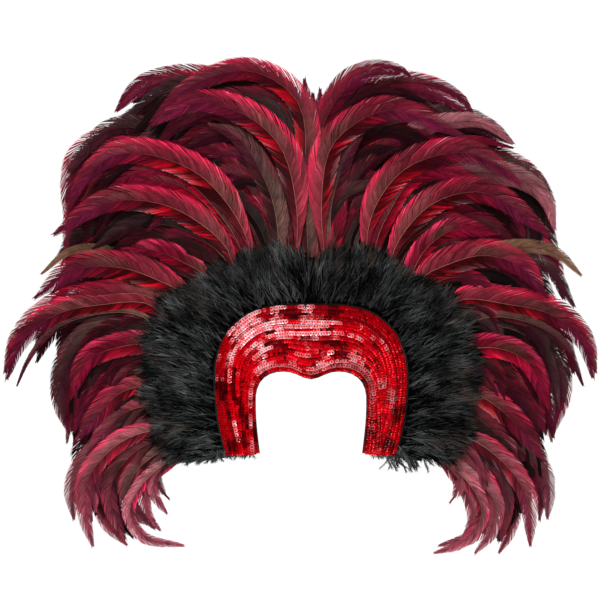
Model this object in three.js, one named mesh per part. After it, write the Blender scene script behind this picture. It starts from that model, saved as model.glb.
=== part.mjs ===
// A carnival feather headdress: a padded sequin arch on a stiff backing, a thick black feather trim round
// it, and a fan of long curved rooster tail feathers that are rooted on the backing under the trim.
// Millimetres, +Z up. The wearer's face looks along -Y, and +X is the viewer's right.
// The origin is where the backing's rear face meets the middle of the forehead.
import * as THREE from "three";

const GAP = 0.3;

// The backing reaches out under the black trim, and shows as a lip inside the sequin band.
const BACKING_THICK = 3;
const BACKING_MARGIN = 36;
const BACKING_LIP = 1.5;

const BAND_THICK = 6;
const BAND_ROUND = 2;

// The quills lie on the backing in a row this far outside the sequin band.
const QUILL_OFFSET = 18;
const QUILL_THICK = 2;
const QUILL_WIDTH = 5;

// Along a feather, as shares of its length: where the quill has thinned, where the vane starts and is full,
// and where it begins to taper to its tip.
const QUILL_SHARE = 0.25;
const VANE_START = 0.14;
const VANE_FULL = 0.5;
const TAPER_START = 0.6;
const TIP_WIDTH = 0.06;
const BLADE_THICK = 1.2;
const BLADE_STATIONS = 11;
const STATION_CROWDING = 1.3;

// The fan spreads outside an edge round this centre, which is flatter than a circle by the squash.
const FAN_CENTRE_Z = -45;
const FAN_SQUASH = 1.2;
const FAN_EDGE = 197;
// It sweeps back in an arc of this radius over its first stretch and goes on straight.
const FAN_SWEEP_RADIUS = 700;
const FAN_SWEEP_REACH = 170;
// Its tiers part from each other by their slopes, and by an extra kick just past the edge.
const FAN_KICK = 35;
const FAN_KICK_REACH = 15;
const TIER_SLOPES = [-0.07, 0, 0.07, 0.14, 0.21];
const RIGHT_SIDE_SLOPE = 0.035;

// The strap follows a head of this size, and ends in tabs flat behind the backing.
const HEAD_HALF_WIDTH = 80;
const HEAD_DEPTH = 190;
const STRAP_WIDTH = 20;
const STRAP_THICK = 1.5;
const STRAP_TAB = 26;
const STRAP_BEND = 7;

// The right halves of the outlines in the front plane, from the top middle to the arm's end, as [x, z].
const BAND_OUTER = [[0, 54.5], [48, 52.5], [78, 45], [97, 33], [112, 18], [124, -8], [128, -30],
  [128.5, -60], [124, -105], [114, -149]];
const BAND_INNER = [[0, -45], [10, -42.5], [25, -36], [42, -34.5], [57, -38.5], [68.5, -47.5], [75, -62],
  [76, -80], [75, -105], [70.5, -146]];
const TRIM_OUTER = [[0, 123], [50, 126], [86, 122], [108, 108], [136, 95], [165, 77], [198, 57],
  [214, 28], [220, -30], [219, -75], [212, -108], [196, -154]];

// The trim's section, from the band's edge at across 0 to its fluffy rim at across 1. It stands on the
// backing by a narrow foot and passes in front of the quills.
const TRIM_SECTION = [
  { across: 0, y: -9.6 },
  { across: 0.08, y: -18 },
  { across: 0.24, y: -31 },
  { across: 0.5, y: -37 },
  { across: 0.78, y: -32 },
  { across: 0.96, y: -20 },
  { across: 1, y: -14 },
  { across: 0.55, y: -10 },
  { across: 0.14, y: -6.4 },
  { across: 0.12, y: -3.3 },
  { across: 0, y: -3.3 },
];
const TRIM_WIDTH = 85;
const TRIM_STATIONS = 17;
const TRIM_GAP = 1.2;

const TONES = {
  burgundy: 0x6e1530,
  crimson: 0xb81a3c,
  magenta: 0x5f123a,
  olive: 0x4a3428,
  grey: 0x5d4540,
  tan: 0x8a6a4c,
};

// One row for each long feather of the viewer's left side. Its columns are the root's place on the arch,
// from 0 at the top middle to 1 at the arm's end, the width, the tier from 0 at the front to 4 at the back,
// the tone, and then the middle line from the trim out to the tip, as [distance from the middle, z].
const LEFT_FEATHERS = [
  [0.03, 33, 2, "burgundy", [7, 200], [14, 330], [80, 376], [160, 357], [220, 301]],
  [0.08, 38, 0, "burgundy", [18, 190], [38, 268], [88, 314], [155, 330], [217, 297]],
  [0.12, 30, 4, "burgundy", [34, 220], [80, 325], [170, 364], [225, 356], [269, 320]],
  [0.14, 30, 1, "olive", [46, 180], [68, 240], [98, 282], [140, 300]],
  [0.17, 30, 3, "grey", [48, 215], [90, 295], [150, 312], [206, 280]],
  [0.205, 36, 2, "magenta", [55, 165], [88, 228], [135, 270], [195, 276]],
  [0.25, 38, 0, "burgundy", [84, 140], [136, 222], [204, 257], [270, 258], [328, 200]],
  [0.315, 32, 4, "grey", [105, 200], [195, 285], [275, 298], [334, 236]],
  [0.285, 28, 1, "crimson", [90, 118], [128, 178], [175, 217], [222, 224], [271, 210]],
  [0.35, 36, 0, "burgundy", [108, 122], [150, 168], [205, 194], [275, 195], [350, 148]],
  [0.39, 30, 3, "burgundy", [128, 170], [212, 250], [295, 246], [334, 182]],
  [0.43, 30, 1, "crimson", [140, 92], [172, 114], [212, 130], [257, 130]],
  [0.47, 30, 4, "burgundy", [170, 130], [250, 205], [318, 195], [336, 116]],
  [0.51, 38, 0, "burgundy", [165, 64], [205, 90], [260, 108], [320, 104], [375, 62]],
  [0.55, 14, 3, "tan", [190, 62], [260, 122], [325, 128], [369, 95]],
  [0.59, 36, 1, "burgundy", [215, 56], [285, 57], [345, 44], [394, 6], [413, -49]],
  [0.63, 36, 2, "grey", [217, 35], [280, 26], [322, -8], [340, -48], [335, -101]],
  [0.665, 16, 4, "tan", [215, 14], [275, -4], [308, -42], [326, -88], [332, -136]],
  [0.715, 32, 0, "crimson", [215, 0], [262, -1], [303, -20], [325, -74]],
  [0.75, 32, 3, "burgundy", [217, -24], [262, -28], [297, -62], [322, -120]],
  [0.79, 32, 1, "burgundy", [215, -54], [258, -62], [290, -95], [320, -132]],
  [0.84, 32, 2, "grey", [208, -88], [262, -120], [308, -160], [324, -198], [321, -238]],
  [0.88, 34, 0, "burgundy", [215, -114], [262, -132], [302, -178], [306, -222], [294, -273]],
  [0.92, 30, 4, "crimson", [200, -138], [246, -160], [278, -200], [280, -238], [248, -272]],
  [0.97, 24, 1, "burgundy", [185, -153], [226, -184], [246, -222], [228, -258], [170, -271]],
];

// The same for the viewer's right side.
const RIGHT_FEATHERS = [
  [0.03, 32, 2, "burgundy", [7, 200], [12, 290], [38, 342], [80, 371], [125, 371]],
  [0.08, 38, 0, "burgundy", [12, 200], [24, 268], [58, 302], [107, 321], [205, 284]],
  [0.145, 32, 4, "burgundy", [28, 215], [48, 322], [100, 350], [165, 346], [220, 316]],
  [0.11, 30, 1, "olive", [24, 176], [34, 222], [50, 262], [74, 290]],
  [0.18, 30, 3, "grey", [48, 215], [92, 296], [150, 306], [214, 283]],
  [0.21, 36, 2, "magenta", [55, 180], [70, 240], [104, 272], [142, 284], [183, 276]],
  [0.25, 38, 0, "burgundy", [76, 160], [98, 212], [138, 248], [215, 262], [286, 217]],
  [0.315, 32, 4, "grey", [80, 225], [148, 293], [217, 303], [277, 276]],
  [0.285, 30, 1, "crimson", [84, 128], [104, 180], [130, 220], [172, 236], [225, 218]],
  [0.35, 36, 0, "burgundy", [109, 122], [138, 172], [178, 201], [238, 208], [325, 147]],
  [0.375, 34, 3, "grey", [122, 170], [210, 240], [290, 236], [324, 198], [331, 154]],
  [0.4, 30, 1, "crimson", [140, 110], [160, 138], [194, 158], [255, 150]],
  [0.505, 28, 4, "magenta", [160, 130], [215, 200], [270, 188], [293, 120]],
  [0.45, 38, 0, "burgundy", [148, 90], [185, 112], [235, 124], [284, 108], [321, 62]],
  [0.55, 26, 2, "grey", [170, 80], [250, 122], [322, 104], [359, 50]],
  [0.59, 34, 1, "burgundy", [194, 60], [269, 57], [329, 42], [370, 4], [383, -47]],
  [0.62, 34, 3, "grey", [208, 26], [272, 24], [316, 4], [340, -34], [345, -80]],
  [0.66, 16, 4, "tan", [215, 16], [260, -2], [300, -36], [317, -76], [328, -134]],
  [0.71, 32, 0, "crimson", [212, -5], [262, -4], [296, -24], [322, -88]],
  [0.76, 32, 2, "burgundy", [214, -29], [262, -38], [298, -76], [319, -123]],
  [0.79, 32, 1, "burgundy", [208, -60], [248, -78], [284, -112], [317, -160]],
  [0.84, 32, 3, "grey", [212, -96], [272, -130], [312, -168], [322, -202], [321, -238]],
  [0.88, 34, 0, "burgundy", [212, -124], [260, -156], [290, -198], [295, -236], [296, -273]],
  [0.92, 30, 4, "crimson", [200, -142], [242, -172], [274, -214], [270, -254], [254, -283]],
  [0.97, 24, 1, "burgundy", [176, -156], [216, -188], [232, -228], [206, -266], [165, -281]],
];

function paint(color, roughness) {
  return new THREE.MeshStandardMaterial({ color, roughness, metalness: 0 });
}

function namedMesh(name, geometry, material) {
  const mesh = new THREE.Mesh(geometry, material);
  mesh.name = name;
  return mesh;
}

function curveThrough(points) {
  const places = points.map(([x, z]) => new THREE.Vector3(x, 0, z));
  return new THREE.CatmullRomCurve3(places, false, "centripetal");
}

// A point at a share of a half outline, moved outward from it in the front plane.
function besideOutline(curve, share, outward) {
  const point = curve.getPointAt(share);
  const along = curve.getTangentAt(share);
  return new THREE.Vector2(point.x - along.z * outward, point.z + along.x * outward);
}

function mirrored(points) {
  return points.map((p) => new THREE.Vector2(-p.x, p.y));
}

// The whole arch as one closed shape: down the right half of the outer outline, back up its inner one, and
// the same mirrored.
function archShape(outerOffset, innerOffset, steps) {
  const outer = curveThrough(BAND_OUTER);
  const inner = curveThrough(BAND_INNER);
  const half = [];
  for (let i = 0; i <= steps; i++) half.push(besideOutline(outer, i / steps, outerOffset));
  for (let i = steps; i >= 0; i--) half.push(besideOutline(inner, i / steps, innerOffset));
  for (const point of [half[0], half[half.length - 1]]) point.x = 0;
  return new THREE.Shape([...half, ...mirrored(half.slice(1, -1).reverse())]);
}

// Stands an extrusion up in the front plane, with its depth towards the viewer from the given y.
function standUp(geometry, rearY) {
  return geometry.rotateX(Math.PI / 2).translate(0, rearY, 0);
}

function makeBacking() {
  const shape = archShape(BACKING_MARGIN, -BACKING_LIP, 18);
  const geometry = new THREE.ExtrudeGeometry(shape, { depth: BACKING_THICK, bevelEnabled: false });
  return namedMesh("backing_plate", standUp(geometry, 0), paint(0x1a1413, 0.95));
}

function makeBand() {
  const shape = archShape(-BAND_ROUND, BAND_ROUND, 22);
  const geometry = new THREE.ExtrudeGeometry(shape, {
    depth: BAND_THICK - 2 * BAND_ROUND,
    bevelThickness: BAND_ROUND,
    bevelSize: BAND_ROUND,
    bevelSegments: 2,
  });
  standUp(geometry, -BACKING_THICK - GAP - BAND_ROUND);
  return namedMesh("sequin_band", geometry, paint(0xc40d1a, 0.3));
}

// A closed solid through rings of points that all have the same count, with flat ends cut as endFaces says.
function loft(rings, endFaces) {
  const size = rings[0].length;
  const last = (rings.length - 1) * size;
  const faces = [];
  for (let i = 0; i + 1 < rings.length; i++) {
    for (let j = 0; j < size; j++) {
      const a = i * size + j;
      const b = i * size + ((j + 1) % size);
      faces.push(a, b, b + size, a, b + size, a + size);
    }
  }
  for (const [a, b, c] of endFaces) {
    faces.push(a, c, b);
    faces.push(last + a, last + b, last + c);
  }
  const geometry = new THREE.BufferGeometry().setFromPoints(rings.flat());
  geometry.setIndex(faces);
  geometry.computeVertexNormals();
  return geometry;
}

// The trim's section carried round the arch, from the end of the right arm to the end of the left one.
function makeTrim() {
  const inner = curveThrough(BAND_OUTER);
  const outer = curveThrough(TRIM_OUTER);
  const rings = [];
  for (let i = TRIM_STATIONS - 1; i > -TRIM_STATIONS; i--) {
    const share = Math.abs(i) / (TRIM_STATIONS - 1);
    const side = Math.sign(i) || 1;
    const near = besideOutline(inner, share, TRIM_GAP);
    const far = besideOutline(outer, share, 0);
    if (i === 0) near.x = 0;
    rings.push(TRIM_SECTION.map(({ across, y }) => {
      const place = near.clone().lerp(far, across);
      return new THREE.Vector3(side * place.x, y, place.y);
    }));
  }
  const section = TRIM_SECTION.map(({ across, y }) => new THREE.Vector2(across * TRIM_WIDTH, y));
  const endFaces = THREE.ShapeUtils.triangulateShape(section, []);
  return namedMesh("black_trim", loft(rings, endFaces), paint(0x141416, 0.9));
}

// How far a place in the front plane lies outside the backing's rounded edge.
function outsideBacking(x, z) {
  const rise = Math.max(0, z - FAN_CENTRE_Z) * FAN_SQUASH;
  return Math.max(0, Math.hypot(x, rise) - FAN_EDGE);
}

// Every feather lies in a curved sheet. The sheets share the backing's front face, fan apart from its edge
// by their slopes, steepest just past the edge, and all sweep back from the face.
function sheetY(x, z, slope) {
  const out = outsideBacking(x, z);
  const bent = Math.min(out, FAN_SWEEP_REACH);
  const sweep = (bent * bent / 2 + (out - bent) * FAN_SWEEP_REACH) / FAN_SWEEP_RADIUS;
  const spread = out + FAN_KICK * (1 - Math.exp(-out / FAN_KICK_REACH));
  return -BACKING_THICK - GAP - QUILL_THICK / 2 + slope * spread + sweep;
}

// A blade opens from its quill to its full width and tapers to its tip.
function bladeHalfWidth(share, width) {
  const open = THREE.MathUtils.smoothstep(share, VANE_START, VANE_FULL);
  const full = THREE.MathUtils.lerp(QUILL_WIDTH, width, open);
  const taper = Math.max(0, (share - TAPER_START) / (1 - TAPER_START));
  return (full / 2) * (1 - (1 - TIP_WIDTH) * taper * taper);
}

// A feather's thin blade, from its quill on the backing to its tip. Side is -1 on the viewer's left.
function makeFeather(name, [at, width, tier, tone, ...path], side) {
  const slope = TIER_SLOPES[tier] + (side > 0 ? RIGHT_SIDE_SLOPE : 0);
  const root = besideOutline(curveThrough(BAND_OUTER), at, QUILL_OFFSET);
  const curve = curveThrough([[root.x, root.y], ...path]);
  const rings = [];
  for (let i = 0; i <= BLADE_STATIONS; i++) {
    const share = (i / BLADE_STATIONS) ** STATION_CROWDING;
    const half = bladeHalfWidth(share, width);
    const thick = THREE.MathUtils.lerp(QUILL_THICK, BLADE_THICK, Math.min(1, share / QUILL_SHARE)) / 2;
    const across = [half, 0, -half].map((offset) => besideOutline(curve, share, offset));
    const front = across.map((p) => new THREE.Vector3(p.x, sheetY(p.x, p.y, slope) - thick, p.y));
    const rear = across.map((p) => new THREE.Vector3(p.x, sheetY(p.x, p.y, slope) + thick, p.y)).reverse();
    const ring = [...front, ...rear];
    for (const point of ring) point.x *= side;
    rings.push(side < 0 ? ring.reverse() : ring);
  }
  const endFaces = [[0, 1, 4], [0, 4, 5], [1, 2, 3], [1, 3, 4]];
  return namedMesh(name, loft(rings, endFaces), paint(TONES[tone], 0.55));
}

// One face of the strap in plan, from the end of its tab behind the backing to the back of the head.
function strapFace(outset) {
  const quarter = Math.PI / 2;
  const radius = STRAP_BEND - outset;
  const bendX = HEAD_HALF_WIDTH + STRAP_BEND;
  const bend = new THREE.EllipseCurve(bendX, GAP + STRAP_BEND, radius, radius, -quarter, -2 * quarter, true);
  const middleY = HEAD_DEPTH / 2;
  const back = new THREE.EllipseCurve(0, middleY, HEAD_HALF_WIDTH + outset, middleY + outset, 0, quarter);
  const tabEnd = new THREE.Vector2(HEAD_HALF_WIDTH + STRAP_TAB, GAP + outset);
  return [tabEnd, ...bend.getPoints(4), ...back.getPoints(14)];
}

// The strap's plan outline, extruded to its width.
function makeStrap() {
  const inner = strapFace(0);
  const outer = strapFace(STRAP_THICK);
  const plan = [
    ...inner.slice(0, -1),
    ...mirrored(inner).reverse(),
    ...mirrored(outer),
    ...outer.slice(0, -1).reverse(),
  ];
  const shape = new THREE.Shape(plan);
  const geometry = new THREE.ExtrudeGeometry(shape, { depth: STRAP_WIDTH, bevelEnabled: false });
  return namedMesh("elastic_strap", geometry.translate(0, 0, -STRAP_WIDTH / 2), paint(0x17171a, 0.85));
}

const headdress = new THREE.Group();
headdress.add(makeBacking(), makeBand(), makeTrim(), makeStrap());
for (const [word, side, rows] of [["left", -1, LEFT_FEATHERS], ["right", 1, RIGHT_FEATHERS]]) {
  rows.forEach((row, i) => {
    const number = String(i + 1).padStart(2, "0");
    headdress.add(makeFeather("coque_" + word + "_" + number, row, side));
  });
}

export default headdress;
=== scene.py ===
"""Looks of the carnival feather headdress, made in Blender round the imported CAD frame.

Shapes are worked out in the CAD's millimetres and turned into metres when a mesh is made. +X is the viewer's
right, +Z is up and the face of the headdress looks along -Y.
"""

import math
from collections import namedtuple

import bpy
import numpy as np
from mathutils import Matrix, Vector

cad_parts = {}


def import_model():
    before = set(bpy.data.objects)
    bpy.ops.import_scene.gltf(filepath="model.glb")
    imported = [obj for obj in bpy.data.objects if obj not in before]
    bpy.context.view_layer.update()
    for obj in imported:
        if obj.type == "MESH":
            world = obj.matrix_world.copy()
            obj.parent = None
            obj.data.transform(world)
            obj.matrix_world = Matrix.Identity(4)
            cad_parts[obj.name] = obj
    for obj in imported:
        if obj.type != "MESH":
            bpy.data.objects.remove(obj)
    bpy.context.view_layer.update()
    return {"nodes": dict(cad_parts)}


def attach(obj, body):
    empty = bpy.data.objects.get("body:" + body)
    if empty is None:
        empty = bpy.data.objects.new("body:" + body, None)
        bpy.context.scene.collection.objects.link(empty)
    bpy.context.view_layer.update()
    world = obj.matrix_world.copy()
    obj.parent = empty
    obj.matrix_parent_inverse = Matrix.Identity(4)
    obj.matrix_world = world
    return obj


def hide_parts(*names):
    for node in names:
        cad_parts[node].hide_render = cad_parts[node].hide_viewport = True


MM = 0.001

# Driving dimensions that the CAD part has too, in millimetres, with the fan's squash and slopes as ratios.
GAP = 0.3
BACKING_THICK = 3
QUILL_OFFSET = 18
QUILL_THICK = 2
QUILL_WIDTH = 5
FAN_CENTRE_Z = -45
FAN_SQUASH = 1.2
FAN_EDGE = 197
FAN_SWEEP_RADIUS = 700
FAN_SWEEP_REACH = 170
FAN_KICK = 35
FAN_KICK_REACH = 15
TIER_SLOPES = [-0.07, 0, 0.07, 0.14, 0.21]
RIGHT_SIDE_SLOPE = 0.035
TRIM_GAP = 1.2

# The right halves of the outlines in the front plane, from the top middle to the arm's end, as [x, z].
BAND_OUTER = [[0, 54.5], [48, 52.5], [78, 45], [97, 33], [112, 18], [124, -8], [128, -30],
              [128.5, -60], [124, -105], [114, -149]]
BAND_INNER = [[0, -45], [10, -42.5], [25, -36], [42, -34.5], [57, -38.5], [68.5, -47.5], [75, -62],
              [76, -80], [75, -105], [70.5, -146]]
TRIM_OUTER = [[0, 123], [50, 126], [86, 122], [108, 108], [136, 95], [165, 77], [198, 57],
              [214, 28], [220, -30], [219, -75], [212, -108], [196, -154]]

# The height of the trim's front over its width, from the band's edge at 0 to its fluffy rim at 1.
TRIM_ACROSS = [0, 0.08, 0.24, 0.5, 0.78, 0.96, 1]
TRIM_FRONT_Y = [-9.6, -14, -23, -33, -31, -22, -16]

# One row for each long feather of the viewer's left side, as in the CAD. Its columns are the root's place on
# the arch, from 0 at the top middle to 1 at the arm's end, the width, the tier from 0 at the front to 4 at
# the back, the tone, and then the middle line from the trim to the tip, as [distance from the middle, z].
LEFT_FEATHERS = [
    [0.03, 33, 2, "burgundy", [7, 200], [14, 330], [80, 376], [160, 357], [220, 301]],
    [0.08, 38, 0, "burgundy", [18, 190], [38, 268], [88, 314], [155, 330], [217, 297]],
    [0.12, 30, 4, "burgundy", [34, 220], [80, 325], [170, 364], [225, 356], [269, 320]],
    [0.14, 30, 1, "olive", [46, 180], [68, 240], [98, 282], [140, 300]],
    [0.17, 30, 3, "grey", [48, 215], [90, 295], [150, 312], [206, 280]],
    [0.205, 36, 2, "magenta", [55, 165], [88, 228], [135, 270], [195, 276]],
    [0.25, 38, 0, "burgundy", [84, 140], [136, 222], [204, 257], [270, 258], [328, 200]],
    [0.315, 32, 4, "grey", [105, 200], [195, 285], [275, 298], [334, 236]],
    [0.285, 28, 1, "crimson", [90, 118], [128, 178], [175, 217], [222, 224], [271, 210]],
    [0.35, 36, 0, "burgundy", [108, 122], [150, 168], [205, 194], [275, 195], [350, 148]],
    [0.39, 30, 3, "burgundy", [128, 170], [212, 250], [295, 246], [334, 182]],
    [0.43, 30, 1, "crimson", [140, 92], [172, 114], [212, 130], [257, 130]],
    [0.47, 30, 4, "burgundy", [170, 130], [250, 205], [318, 195], [336, 116]],
    [0.51, 38, 0, "burgundy", [165, 64], [205, 90], [260, 108], [320, 104], [375, 62]],
    [0.55, 14, 3, "tan", [190, 62], [260, 122], [325, 128], [369, 95]],
    [0.59, 36, 1, "burgundy", [215, 56], [285, 57], [345, 44], [394, 6], [413, -49]],
    [0.63, 36, 2, "grey", [217, 35], [280, 26], [322, -8], [340, -48], [335, -101]],
    [0.665, 16, 4, "tan", [215, 14], [275, -4], [308, -42], [326, -88], [332, -136]],
    [0.715, 32, 0, "crimson", [215, 0], [262, -1], [303, -20], [325, -74]],
    [0.75, 32, 3, "burgundy", [217, -24], [262, -28], [297, -62], [322, -120]],
    [0.79, 32, 1, "burgundy", [215, -54], [258, -62], [290, -95], [320, -132]],
    [0.84, 32, 2, "grey", [208, -88], [262, -120], [308, -160], [324, -198], [321, -238]],
    [0.88, 34, 0, "burgundy", [215, -114], [262, -132], [302, -178], [306, -222], [294, -273]],
    [0.92, 30, 4, "crimson", [200, -138], [246, -160], [278, -200], [280, -238], [248, -272]],
    [0.97, 24, 1, "burgundy", [185, -153], [226, -184], [246, -222], [228, -258], [170, -271]],
]

# The same for the viewer's right side.
RIGHT_FEATHERS = [
    [0.03, 32, 2, "burgundy", [7, 200], [12, 290], [38, 342], [80, 371], [125, 371]],
    [0.08, 38, 0, "burgundy", [12, 200], [24, 268], [58, 302], [107, 321], [205, 284]],
    [0.145, 32, 4, "burgundy", [28, 215], [48, 322], [100, 350], [165, 346], [220, 316]],
    [0.11, 30, 1, "olive", [24, 176], [34, 222], [50, 262], [74, 290]],
    [0.18, 30, 3, "grey", [48, 215], [92, 296], [150, 306], [214, 283]],
    [0.21, 36, 2, "magenta", [55, 180], [70, 240], [104, 272], [142, 284], [183, 276]],
    [0.25, 38, 0, "burgundy", [76, 160], [98, 212], [138, 248], [215, 262], [286, 217]],
    [0.315, 32, 4, "grey", [80, 225], [148, 293], [217, 303], [277, 276]],
    [0.285, 30, 1, "crimson", [84, 128], [104, 180], [130, 220], [172, 236], [225, 218]],
    [0.35, 36, 0, "burgundy", [109, 122], [138, 172], [178, 201], [238, 208], [325, 147]],
    [0.375, 34, 3, "grey", [122, 170], [210, 240], [290, 236], [324, 198], [331, 154]],
    [0.4, 30, 1, "crimson", [140, 110], [160, 138], [194, 158], [255, 150]],
    [0.505, 28, 4, "magenta", [160, 130], [215, 200], [270, 188], [293, 120]],
    [0.45, 38, 0, "burgundy", [148, 90], [185, 112], [235, 124], [284, 108], [321, 62]],
    [0.55, 26, 2, "grey", [170, 80], [250, 122], [322, 104], [359, 50]],
    [0.59, 34, 1, "burgundy", [194, 60], [269, 57], [329, 42], [370, 4], [383, -47]],
    [0.62, 34, 3, "grey", [208, 26], [272, 24], [316, 4], [340, -34], [345, -80]],
    [0.66, 16, 4, "tan", [215, 16], [260, -2], [300, -36], [317, -76], [328, -134]],
    [0.71, 32, 0, "crimson", [212, -5], [262, -4], [296, -24], [322, -88]],
    [0.76, 32, 2, "burgundy", [214, -29], [262, -38], [298, -76], [319, -123]],
    [0.79, 32, 1, "burgundy", [208, -60], [248, -78], [284, -112], [317, -160]],
    [0.84, 32, 3, "grey", [212, -96], [272, -130], [312, -168], [322, -202], [321, -238]],
    [0.88, 34, 0, "burgundy", [212, -124], [260, -156], [290, -198], [295, -236], [296, -273]],
    [0.92, 30, 4, "crimson", [200, -142], [242, -172], [274, -214], [270, -254], [254, -283]],
    [0.97, 24, 1, "burgundy", [176, -156], [216, -188], [232, -228], [206, -266], [165, -281]],
]

# Long feathers that the CAD leaves to this script, with the same columns. Their tiers can also lie between
# two of the CAD's, or behind the last.
LEFT_EXTRAS = [
    [0.01, 34, 3.4, "burgundy", [4, 200], [2, 275], [9, 366]],
    [0.115, 24, 4.8, "burgundy", [40, 240], [90, 330], [150, 360], [208, 358], [248, 332]],
    [0.11, 28, 4.3, "burgundy",
     [34, 230], [82, 340], [140, 370], [200, 373], [238, 361], [258, 339], [270, 318]],
    [0.02, 26, 2.6, "burgundy", [10, 230], [30, 340], [80, 380], [140, 372], [190, 343]],
    [0.015, 34, 2.8, "burgundy", [6, 200], [10, 290], [30, 344], [52, 366]],
    [0.3, 36, 4.8, "burgundy", [112, 205], [200, 272], [280, 284], [322, 260], [333, 215], [331, 150]],
    [0.585, 34, 1.2, "burgundy", [215, 66], [285, 69], [350, 52], [397, 11], [416, -40]],
    [0.14, 36, 4.9, "olive", [60, 220], [130, 312], [190, 330], [246, 300]],
    [0.67, 30, 3.2, "burgundy", [215, 2], [280, 0], [328, -28], [342, -68], [328, -122]],
    [0.005, 24, 1.0, "olive", [4, 175], [6, 215], [3, 268]],
    [0.05, 36, 2.8, "burgundy", [16, 200], [22, 270], [28, 330], [42, 366]],
    [0.53, 26, 2.6, "burgundy", [200, 60], [260, 88], [320, 84], [356, 56]],
    [0.13, 26, 4.6, "grey", [60, 230], [130, 320], [200, 346], [266, 306]],
    [0.2, 34, 4.6, "grey", [66, 200], [150, 290], [230, 318], [300, 270]],
    [0.34, 36, 4.6, "burgundy", [118, 190], [210, 262], [300, 262], [338, 196]],
    [0.36, 36, 4.9, "magenta", [112, 160], [220, 232], [310, 222], [334, 150]],
    [0.44, 36, 4.7, "grey", [150, 140], [240, 190], [316, 172], [334, 112]],
    [0.5, 34, 4.4, "burgundy", [168, 90], [250, 140], [320, 128], [338, 60]],
    [0.61, 9, 1.5, "olive", [230, 40], [300, 40], [352, 18], [383, -20], [400, -58]],
    [0.7, 30, 3.6, "burgundy", [215, -6], [280, -20], [318, -66], [324, -118]],
    [0.83, 28, 1.4, "burgundy", [210, -81], [250, -88], [278, -115], [304, -150]],
    [0.93, 18, 2.6, "burgundy", [180, -152], [220, -185], [222, -225], [203, -251]],
    [0.98, 16, 1.2, "grey", [178, -150], [210, -175], [212, -200], [194, -228]],
    [0.29, 27, 0.8, "crimson", [92, 124], [130, 188], [178, 230], [226, 237], [274, 213]],
]
RIGHT_EXTRAS = [
    [0.06, 26, 4.8, "burgundy", [14, 220], [34, 320], [70, 352], [118, 358], [160, 344]],
    [0.53, 34, 4.8, "grey", [176, 90], [250, 118], [304, 90], [326, 40], [330, -10]],
    [0.01, 34, 3.2, "burgundy", [4, 200], [2, 270], [3, 346]],
    [0.02, 34, 3.4, "burgundy", [6, 200], [9, 280], [13, 352]],
    [0.03, 26, 2.6, "burgundy", [10, 220], [22, 318], [48, 364], [86, 382], [124, 378], [138, 366]],
    [0.15, 30, 3.8, "burgundy", [40, 240], [62, 334], [110, 362], [165, 359], [206, 340], [225, 314]],
    [0.24, 28, 4.4, "grey", [60, 230], [130, 303], [200, 318], [251, 301], [281, 274]],
    [0.36, 28, 4.7, "burgundy", [112, 200], [200, 262], [278, 252], [316, 222], [334, 164]],
    [0.33, 34, 2.3, "rose", [120, 190], [200, 236], [258, 234], [296, 222], [321, 198], [333, 155]],
    [0.015, 34, 2.8, "burgundy", [4, 200], [10, 290], [26, 340], [44, 360]],
    [0.955, 22, 2.2, "burgundy", [180, -158], [204, -185], [217, -212], [219, -238], [203, -262]],
    [0.22, 26, 2.6, "rose", [80, 220], [140, 290], [194, 306], [238, 304], [278, 274]],
    [0.24, 14, 2.2, "crimson", [90, 200], [160, 262], [220, 280], [279, 268]],
    [0.585, 30, 1.2, "burgundy", [200, 62], [275, 62], [335, 46], [374, 8], [387, -40]],
    [0.67, 30, 3.2, "burgundy", [215, 0], [280, 4], [330, -18], [343, -55], [328, -125]],
    [0.05, 36, 2.8, "burgundy", [16, 200], [20, 270], [30, 330], [56, 350]],
    [0.09, 18, 0.6, "crimson", [28, 130], [34, 150], [48, 195]],
    [0.16, 34, 4.6, "olive", [50, 240], [80, 305], [130, 324], [184, 303]],
    [0.2, 34, 4.6, "grey", [66, 200], [120, 290], [190, 312], [256, 270]],
    [0.34, 34, 4.6, "burgundy", [110, 190], [186, 262], [260, 256], [306, 210]],
    [0.4, 36, 4.9, "magenta", [130, 150], [220, 215], [300, 210], [334, 150]],
    [0.44, 36, 4.7, "grey", [150, 130], [240, 180], [312, 166], [340, 100]],
    [0.49, 20, 1.6, "tan", [170, 100], [250, 130], [328, 128], [369, 93]],
    [0.5, 34, 4.4, "burgundy", [168, 90], [250, 140], [320, 128], [346, 60]],
    [0.6, 14, 1.5, "olive", [228, 36], [296, 31], [344, 0], [370, -57]],
    [0.65, 24, 2.6, "grey", [205, 20], [255, 27], [302, 7], [325, -34], [336, -88]],
    [0.7, 30, 3.6, "burgundy", [215, -6], [280, -20], [318, -66], [330, -128]],
    [0.94, 22, 2.6, "burgundy", [194, -160], [236, -210], [225, -254], [171, -271]],
    [0.96, 22, 1.6, "grey", [190, -158], [248, -209], [244, -252], [221, -282]],
    [0.29, 27, 0.8, "crimson", [86, 134], [108, 188], [136, 226], [180, 241], [234, 222]],
]

Row = namedtuple("Row", "at width tier tone path")


def named(table):
    return [Row(at, width, tier, tone, path) for at, width, tier, tone, *path in table]


# The word and the sign of x for each side, its long feathers and its extra ones.
SIDES = [("left", -1, named(LEFT_FEATHERS), named(LEFT_EXTRAS)),
         ("right", 1, named(RIGHT_FEATHERS), named(RIGHT_EXTRAS))]

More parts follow.
